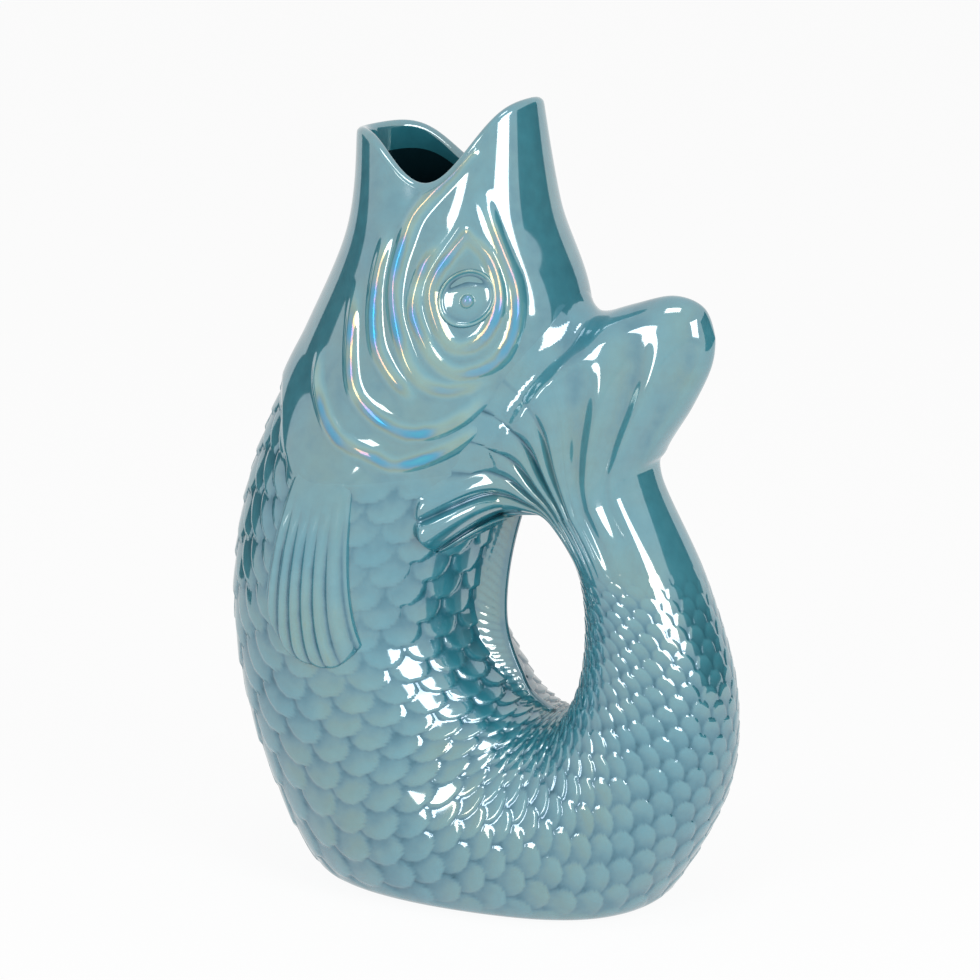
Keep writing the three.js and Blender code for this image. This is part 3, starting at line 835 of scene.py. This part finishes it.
def build_dorsal():
    """The dorsal fin, in rings up one side, down the other and back under the skin."""
    size = sizes()
    v = np.linspace(0, 1, DORSAL_ROWS)[:, None]
    s = mix(*DORSAL_ENDS, v)
    back = wall(s[:, 0], np.full(len(s), np.pi))
    length = np.concatenate([[0], np.cumsum(np.linalg.norm(np.diff(back, axis=0), axis=1))])[:, None]
    rise = np.linspace(0, 1, DORSAL_SIDE_COLUMNS)
    climb = np.concatenate([rise, rise[-2::-1]])
    side = np.where(np.arange(len(climb)) < len(rise), 1, -1)
    heights = through(np.array(DORSAL_HEIGHTS)[:, None], v * (len(DORSAL_HEIGHTS) - 1))[..., 0]
    crest = CREST_HALF * quarter_round(1 - climb, CREST_ROUND)
    body = crest + (DORSAL_ROOT / 2 - CREST_HALF) * (1 - climb) ** ROOT_HOLLOW
    window = smooth(climb, *SPINES_START) * (1 - smooth(climb, *SPINES_END))
    slanted = length - SPINE_SLANT * climb * heights
    lines = np.abs(np.cos(np.pi * slanted / size["spine_pitch"])) * window
    lateral = side * (body + size["spine_depth"] * lines)
    half = through(FORM, s)[..., 4]
    out = skin_frame(s, np.full_like(s, np.pi))[1]
    root = wall(s, np.pi + np.arcsin(lateral / half))
    top = root + out * (climb * (heights + FIN_SEAT) - FIN_SEAT)[..., None]
    under = mix(top[:, -1:], top[:, :1], np.linspace(0, 1, DORSAL_UNDER_COLUMNS)[1:-1, None])
    rings = np.concatenate([top, under], axis=1)
    # Tone of the dorsal fin: darker between the spines as painted shade, paler on them as painted highlight
    tones = DORSAL_TONE + SPINE_RISE * np.pad(lines, ((0, 0), (0, under.shape[1])))
    return loft("dorsal_fin_glazed", capped(rings), doubled_ends(tones))


# The pectoral fins start a little before the gill cover's edge and thicken along their length. The hollows
# between the rays are deeper at one side of the fin. A ray has the tone of plain skin at RAY_LEVEL.
ROOT_TUCK = 0.01
FIN_THICKENS = (0, 0.45)
RAY_POWER = 0.8
RAY_SHARES = (1.5, 0.9)
RAYS_START = (0.05, 0.5)
RAY_LEVEL = 0.7
RAY_TONES_START = (0.05, 0.6)
UNDERSIDE_DROP = 0.2


def build_pectoral(name, side):
    """A pectoral fin, in rings over its top and back under the skin."""
    size = sizes()
    u = np.linspace(0, 1, PECTORAL_COLUMNS)
    v = np.linspace(0, 1, PECTORAL_ROWS)[:, None]
    root_angle = np.radians(mix(*PECTORAL_ROOT, u))
    root = gill_edge(root_angle) - ROOT_TUCK
    tips = through(PECTORAL_TIPS, u * (len(PECTORAL_TIPS) - 1))
    s = mix(root, tips[:, 0], v)
    theta = side * mix(root_angle, np.radians(tips[:, 1]), v)
    edge = quarter_round(np.minimum(u, 1 - u), FIN_SIDE_ROUND) * quarter_round(1 - v, FIN_TIP_ROUND)
    rays = np.abs(np.cos(np.pi * PECTORAL_RAYS * u)) ** RAY_POWER
    rise = mix(GILL_STEP, PECTORAL_THICK, smooth(v, *FIN_THICKENS))
    thick = rise + size["ray_depth"] * mix(*RAY_SHARES, u) * (rays - 1) * smooth(v, *RAYS_START)
    top = skin(s, theta, edge * (thick + FIN_SEAT) - FIN_SEAT)
    backwards = slice(None, None, -PECTORAL_UNDER_STEP)
    depth = np.full_like(s[:, backwards], -FIN_SEAT - UNDERSIDE_DROP)
    under = skin(s[:, backwards], theta[:, backwards], depth)
    rings = np.concatenate([top, under], axis=1)
    # Tone of the pectoral fins: darker in the hollows between the rays as painted shade, paler on the rays as
    # painted highlight
    tones = OPEN_TONE + RAY_RISE * (rays - RAY_LEVEL) * smooth(v, *RAY_TONES_START)
    tones = np.concatenate([tones, np.full(under.shape[:2], UNDER_TONE)], axis=1)
    return loft(name, capped(rings), doubled_ends(tones))


# The eyes: a low dome with a lid cut into its upper half, a pupil, and a groove and a rim round them. Heights
# are millimetres over the skin, and the rest are shares of the eye's half length and half breadth.
EYE_BASE = 0.3
EYE_SEAT = 1.2
DOME_HEIGHT = 0.8
DOME_RADIUS = 0.85
LID_DEPTH = 0.8
LID_START = (0.15, 0.5)
LID_END = (0.65, 0.85)
RIM_HEIGHT = 1.0
RIM_RADIUS = 0.93
RIM_SPREAD = 0.08
PUPIL_HEIGHT = 1.4
PUPIL_RADIUS = 0.24
PUPIL_DOWN = 0.15
PUPIL_POWER = 0.7
EDGE_DROP = 1.6
EDGE_TURN = (0.96, 1.1)


def eye_height(down, aside):
    """Height of an eye at a place in those shares."""
    radius = np.hypot(down, aside)
    dome = DOME_HEIGHT * np.clip(1 - (radius / DOME_RADIUS) ** 2, 0, 1)
    lid = LID_DEPTH * smooth(-down, *LID_START) * (1 - smooth(radius, *LID_END))
    rim = RIM_HEIGHT * np.exp(-((radius - RIM_RADIUS) / RIM_SPREAD) ** 2)
    off_pupil = np.hypot(down - PUPIL_DOWN, aside) / PUPIL_RADIUS
    pupil = PUPIL_HEIGHT * np.clip(1 - off_pupil ** 2, 0, 1) ** PUPIL_POWER
    return dome - lid + rim + pupil + EYE_BASE - EDGE_DROP * smooth(radius, *EDGE_TURN)


def build_eye(name, side):
    """An eye, in rings round its middle, with its seat as one point under the skin."""
    s0 = EYE_AT[0]
    theta0 = math.radians(EYE_AT[1])
    rate = skin_frame(np.array(s0), np.array(theta0))[2]
    half = through(FORM, np.array(s0))[4]
    radius = np.linspace(0, EDGE_TURN[1], EYE_ROWS)[:, None]
    bearing = angles(EYE_COLUMNS)
    down = radius * np.sin(bearing)
    aside = radius * np.cos(bearing)
    height = eye_height(down, aside)
    s = s0 + EYE_HALF[0] * down / rate
    theta = theta0 + EYE_HALF[1] * aside / half
    dome = skin(s, side * theta, height)
    middle = np.zeros(EYE_COLUMNS)
    seat = skin(middle + s0, middle + side * theta0, middle - EYE_SEAT)[None]
    # Tone of the eye follows its height: dark in the lid's hollow and round its edge as painted shade, pale
    # on the rim and the pupil as painted highlight
    tones = np.clip(EYE_TONE + EYE_RISE * height, 0, 1)
    return loft(name, np.concatenate([dome, seat]), np.concatenate([tones, tones[-1:]]))


# Finishes

def add_node(tree, kind, inputs=None, **settings):
    """Adds a node. An input is a value or another node's socket."""
    made = tree.nodes.new(kind)
    for name, value in settings.items():
        setattr(made, name, value)
    for name, value in (inputs or {}).items():
        if isinstance(value, bpy.types.NodeSocket):
            tree.links.new(value, made.inputs[name])
        else:
            made.inputs[name].default_value = value
    return made


# Real sizes of the glaze's patterns in metres: clouds of lustre, and the mottle of the fired glaze. Then how
# far the mottle shifts the relief tone, the tones of pooled glaze with painted shade and of thin glaze with
# painted highlight, and the range of the clouds.
LUSTRE_CLOUD = 26 * MM
GLAZE_MOTTLE = 5 * MM
MOTTLE_SHIFT = 0.25
POOL_AND_SHADE_TONE = 0.15
THIN_AND_HIGHLIGHT_TONE = 0.95
CLOUD_RANGE = (0.3, 0.7)
# Thickness of the lustre film in nanometres: in hollows, on open skin, and how much more it can be on edges,
# with the tones over which it grows to each. The thin film in hollows reflects less, which paints them darker
# as shade.
HOLLOW_FILM = 15
OPEN_FILM = (52, 78)
OPEN_FILM_TONES = (0.15, 0.45)
EDGE_FILM = (0, 110)
EDGE_FILM_TONES = (0.62, 0.95)
# Shades of the mottle inside the jug, as shares of its colour
INSIDE_SHADES = (0.8, 1.2)
# Colours of the stage's paper and felt, and the paper's share of glow
PAPER_WHITE = "fcfcfc"
PAPER_GLOW = 0.93
FLAG_GREY = "6f6f6f"


def limits(end, pair):
    """Inputs for one end of a change of range."""
    return {end + " Min": pair[0], end + " Max": pair[1]}


def finish(name, surface):
    """The material of that name, made with its surface when first asked for."""
    made = bpy.data.materials.get(name)
    if made is None:
        made = bpy.data.materials.new(name)
        made.use_nodes = True
        tree = made.node_tree
        tree.nodes.clear()
        add_node(tree, "ShaderNodeOutputMaterial", {"Surface": surface(tree).outputs[0]})
    return made


def lustre_glaze(tree):
    """Coloured ceramic glaze, fired, then lustred with a film of metal oxide: a wet gloss whose lights turn
    pink, green and blue with the film's thickness. It is pale on edges, as thin glaze with painted highlight,
    and dark in hollows, as pooled glaze with painted shade."""
    colours = bpy.context.scene.carafe_glaze
    place = add_node(tree, "ShaderNodeTexCoord").outputs["Object"]
    cloud = add_node(tree, "ShaderNodeTexNoise", {"Vector": place, "Scale": 1 / LUSTRE_CLOUD, "Detail": 2.0})
    mottle = add_node(tree, "ShaderNodeTexNoise", {"Vector": place, "Scale": 1 / GLAZE_MOTTLE, "Detail": 3.0})
    relief = add_node(tree, "ShaderNodeAttribute", attribute_name="relief").outputs["Fac"]
    uneven = add_node(tree, "ShaderNodeMath", {
        0: mottle.outputs["Fac"], 1: MOTTLE_SHIFT, 2: -MOTTLE_SHIFT / 2}, operation="MULTIPLY_ADD").outputs[0]
    level = add_node(tree, "ShaderNodeMath", {0: relief, 1: uneven}, operation="ADD").outputs[0]
    # The colour runs from pooled glaze with painted shade in hollows, through the open glaze, to thin glaze
    # with painted highlight on edges
    ramp = add_node(tree, "ShaderNodeValToRGB", {"Fac": level})
    stops = ramp.color_ramp.elements
    stops[0].position = POOL_AND_SHADE_TONE
    stops[0].color = (*colours.pool, 1)
    stops[1].position = THIN_AND_HIGHLIGHT_TONE
    stops[1].color = (*colours.thin, 1)
    stops.new(OPEN_TONE).color = (*colours.body, 1)
    edge = add_node(tree, "ShaderNodeMapRange", {"Value": level, **limits("From", EDGE_FILM_TONES)})
    open_skin = add_node(tree, "ShaderNodeMapRange", {"Value": level, **limits("From", OPEN_FILM_TONES)})
    spread = {"Value": cloud.outputs["Fac"], **limits("From", CLOUD_RANGE)}
    more = add_node(tree, "ShaderNodeMapRange", {**spread, **limits("To", EDGE_FILM)})
    even = add_node(tree, "ShaderNodeMapRange", {**spread, **limits("To", OPEN_FILM)})
    full = add_node(tree, "ShaderNodeMath", {
        0: edge.outputs[0], 1: more.outputs[0], 2: even.outputs[0]}, operation="MULTIPLY_ADD")
    film = add_node(tree, "ShaderNodeMix", {0: open_skin.outputs[0], 2: HOLLOW_FILM, 3: full.outputs[0]})
    return add_node(tree, "ShaderNodeBsdfPrincipled", {
        "Base Color": ramp.outputs["Color"], "Roughness": 0.07, "IOR": 1.5,
        "Thin Film Thickness": film.outputs[0], "Thin Film IOR": 2.0})


def inside_painted_shade(tree):
    """The same glaze inside the jug, without lustre, painted dark as the shade in there: wet and plain."""
    colours = bpy.context.scene.carafe_glaze
    place = add_node(tree, "ShaderNodeTexCoord").outputs["Object"]
    mottle = add_node(tree, "ShaderNodeTexNoise", {"Vector": place, "Scale": 1 / GLAZE_MOTTLE, "Detail": 3.0})
    ramp = add_node(tree, "ShaderNodeValToRGB", {"Fac": mottle.outputs["Fac"]})
    for stop, shade in zip(ramp.color_ramp.elements, INSIDE_SHADES):
        stop.color = (*(shade * part for part in colours.inside), 1)
    return add_node(tree, "ShaderNodeBsdfPrincipled", {
        "Base Color": ramp.outputs["Color"], "Roughness": 0.18, "IOR": 1.5})


def white_to_lens(tree):
    """1 for what the lens sees, also in gloss or through glass, and 0 for light on the object."""
    path = add_node(tree, "ShaderNodeLightPath")
    seen = add_node(tree, "ShaderNodeMath", {
        0: path.outputs["Is Camera Ray"], 1: path.outputs["Is Glossy Ray"]}, operation="MAXIMUM")
    return add_node(tree, "ShaderNodeMath", {
        0: seen.outputs[0], 1: path.outputs["Is Transmission Ray"]}, operation="MAXIMUM").outputs[0]


def white_paper(tree):
    """Matt white paper, which the lens sees as a plain white room."""
    matt = add_node(tree, "ShaderNodeBsdfDiffuse", {"Color": (*linear(PAPER_WHITE), 1)})
    glow = add_node(tree, "ShaderNodeEmission", {"Strength": 1.0})
    lit = add_node(tree, "ShaderNodeMath", {0: white_to_lens(tree), 1: PAPER_GLOW}, operation="MULTIPLY")
    return add_node(tree, "ShaderNodeMixShader", {0: lit.outputs[0], 1: matt.outputs[0], 2: glow.outputs[0]})


def flag_cloth(tree):
    """Grey felt, which the gloss shows as a dark band."""
    return add_node(tree, "ShaderNodeBsdfDiffuse", {"Color": (*linear(FLAG_GREY), 1)})


# Stage

FLOOR_SIDE = 14.0
FLOOR_DROP = 0.05 * MM
TARGET = Vector((-4.5, 0, 129.5)) * MM
# Softboxes and grey flags: bearing from the camera, elevation, width, height and distance in metres
SOFTBOXES = {
    "left_softbox": (-34, 22, 0.28, 0.75, 1.2),
    "right_softbox": (40, 22, 0.48, 0.7, 1.2),
    "top_softbox": (-10, 75, 0.30, 0.30, 1.2),
}
FLAGS = {
    "right_flag": (96, 9, 0.8, 0.6, 0.8),
    "left_flag": (-118, 4, 0.35, 0.5, 0.8),
}


def towards(stage, bearing, elevation):
    """The direction from the object at a bearing from the camera and an elevation, in degrees."""
    turn = stage.bearing + math.radians(bearing)
    lift = math.radians(elevation)
    return Vector((math.cos(lift) * math.sin(turn), -math.cos(lift) * math.cos(turn), math.sin(lift)))


def facing(direction):
    return direction.to_track_quat("Z", "Y")


def card(name, width, height, direction, distance):
    """A flat card that faces the object."""
    form = bmesh.new()
    bmesh.ops.create_grid(form, x_segments=1, y_segments=1, size=0.5)
    bmesh.ops.scale(form, vec=(width, height, 1), verts=form.verts[:])
    bmesh.ops.rotate(form, matrix=facing(direction).to_matrix(), verts=form.verts[:])
    bmesh.ops.translate(form, vec=TARGET + direction * distance, verts=form.verts[:])
    made = add_form(name, form)
    return made


def aimed(name, data, direction, distance):
    """A lamp or a camera that looks at the object."""
    made = add_object(name, data)
    made.location = TARGET + direction * distance
    made.rotation_euler = facing(direction).to_euler()
    return made


def build_stage(stage):
    """The floor, the flags, the softboxes, the white room and the camera."""
    scene = bpy.context.scene
    floor = card("floor", FLOOR_SIDE, FLOOR_SIDE, Vector((0, 0, 1)), 0)
    floor.data.transform(Matrix.Translation((0, 0, -TARGET.z - FLOOR_DROP)))
    floor.data.materials.append(finish("white_paper", white_paper))
    for name, (bearing, elevation, width, height, distance) in FLAGS.items():
        flag = card(name, width, height, towards(stage, bearing, elevation), distance)
        flag.visible_camera = False
        flag.data.materials.append(finish("grey_flag_cloth", flag_cloth))

    for name, (bearing, elevation, width, height, distance) in SOFTBOXES.items():
        light = bpy.data.lights.new(name, "AREA")
        light.shape = "RECTANGLE"
        light.size = width
        light.size_y = height
        # Pi watts on a square metre look as bright as white
        light.energy = stage.box_light * math.pi * width * height
        lamp = aimed(name, light, towards(stage, bearing, elevation), distance)
        lamp.visible_camera = False

    world = bpy.data.worlds.new("white_room")
    world.use_nodes = True
    tree = world.node_tree
    tree.nodes.clear()
    white = {"Color": (1, 1, 1, 1)}
    lighting = add_node(tree, "ShaderNodeBackground", {**white, "Strength": stage.room_light})
    seen = add_node(tree, "ShaderNodeBackground", {**white, "Strength": 1.0})
    either = add_node(tree, "ShaderNodeMixShader", {
        0: white_to_lens(tree), 1: lighting.outputs[0], 2: seen.outputs[0]})
    add_node(tree, "ShaderNodeOutputWorld", {"Surface": either.outputs[0]})
    scene.world = world
    scene.view_settings.view_transform = "Standard"

    data = bpy.data.cameras.new("camera")
    data.lens = stage.lens
    direction = towards(stage, 0, math.degrees(stage.elevation))
    scene.camera = aimed("camera", data, direction, stage.distance)


# Operators

class CARAFE_OT_head(bpy.types.Operator):
    """Model the open head with its rolled lip, carved cheeks and gill covers"""

    bl_idname = "carafe.head"
    bl_label = "Head"

    def execute(self, context):
        place_piece(build_head(), "head_shell")
        return {"FINISHED"}


class CARAFE_OT_belly(bpy.types.Operator):
    """Model the scaled belly, which is hollow and stands flat on the table"""

    bl_idname = "carafe.belly"
    bl_label = "Belly"

    def execute(self, context):
        place_piece(build_belly(), "belly_shell")
        return {"FINISHED"}


class CARAFE_OT_tail_handle(bpy.types.Operator):
    """Model the hollow tail, which is the handle"""

    bl_idname = "carafe.tail_handle"
    bl_label = "Tail handle"

    def execute(self, context):
        place_piece(build_tail(), "tail_handle")
        return {"FINISHED"}


class CARAFE_OT_tail_fan(bpy.types.Operator):
    """Model the fluted fan at the end of the tail"""

    bl_idname = "carafe.tail_fan"
    bl_label = "Tail fan"

    def execute(self, context):
        place_piece(build_fan(), "tail_fan")
        return {"FINISHED"}


class CARAFE_OT_dorsal_fin(bpy.types.Operator):
    """Model the spined dorsal fin in the finger loop"""

    bl_idname = "carafe.dorsal_fin"
    bl_label = "Dorsal fin"

    def execute(self, context):
        place_piece(build_dorsal(), "dorsal_fin")
        return {"FINISHED"}


class CARAFE_OT_pectoral_fins(bpy.types.Operator):
    """Model the pair of rayed fins behind the gill covers"""

    bl_idname = "carafe.pectoral_fins"
    bl_label = "Pectoral fins"

    def execute(self, context):
        for name, side in (("pectoral_fin_left", 1), ("pectoral_fin_right", -1)):
            place_piece(build_pectoral(name + "_glazed", side), name)
        return {"FINISHED"}


class CARAFE_OT_eyes(bpy.types.Operator):
    """Model the pair of domed eyes"""

    bl_idname = "carafe.eyes"
    bl_label = "Eyes"

    def execute(self, context):
        for name, side in (("eye_left", 1), ("eye_right", -1)):
            place_piece(build_eye(name + "_glazed", side), name)
        return {"FINISHED"}


class CARAFE_OT_stage(bpy.types.Operator):
    """Set up the floor, the light and the camera"""

    bl_idname = "carafe.stage"
    bl_label = "Stage"

    def execute(self, context):
        build_stage(context.scene.carafe_stage)
        return {"FINISHED"}


OPERATORS = (
    CARAFE_OT_stage,
    CARAFE_OT_head,
    CARAFE_OT_belly,
    CARAFE_OT_tail_handle,
    CARAFE_OT_tail_fan,
    CARAFE_OT_dorsal_fin,
    CARAFE_OT_pectoral_fins,
    CARAFE_OT_eyes,
)


class CARAFE_PT_panel(bpy.types.Panel):
    """Lists the pieces, the sizes and the colours"""

    bl_idname = "CARAFE_PT_panel"
    bl_label = "Fish Carafe"
    bl_space_type = "VIEW_3D"
    bl_region_type = "UI"
    bl_category = "Carafe"

    def draw(self, context):
        for operator in OPERATORS:
            self.layout.operator(operator.bl_idname)
        for group in (context.scene.carafe_sizes, context.scene.carafe_glaze, context.scene.carafe_stage):
            box = self.layout.box()
            for name in group.__annotations__:
                box.prop(group, name)


CLASSES = (CarafeSizes, CarafeGlaze, CarafeStage, *OPERATORS, CARAFE_PT_panel)


def register():
    for item in CLASSES:
        bpy.utils.register_class(item)
    bpy.types.Scene.carafe_sizes = PointerProperty(type=CarafeSizes)
    bpy.types.Scene.carafe_glaze = PointerProperty(type=CarafeGlaze)
    bpy.types.Scene.carafe_stage = PointerProperty(type=CarafeStage)


def unregister():
    del bpy.types.Scene.carafe_stage
    del bpy.types.Scene.carafe_glaze
    del bpy.types.Scene.carafe_sizes
    for item in reversed(CLASSES):
        bpy.utils.unregister_class(item)


def main():
    register()
    bpy.ops.carafe.stage()
    bpy.ops.carafe.head()
    bpy.ops.carafe.belly()
    bpy.ops.carafe.tail_handle()
    bpy.ops.carafe.tail_fan()
    bpy.ops.carafe.dorsal_fin()
    bpy.ops.carafe.pectoral_fins()
    bpy.ops.carafe.eyes()


if __name__ == "__main__":
    main()
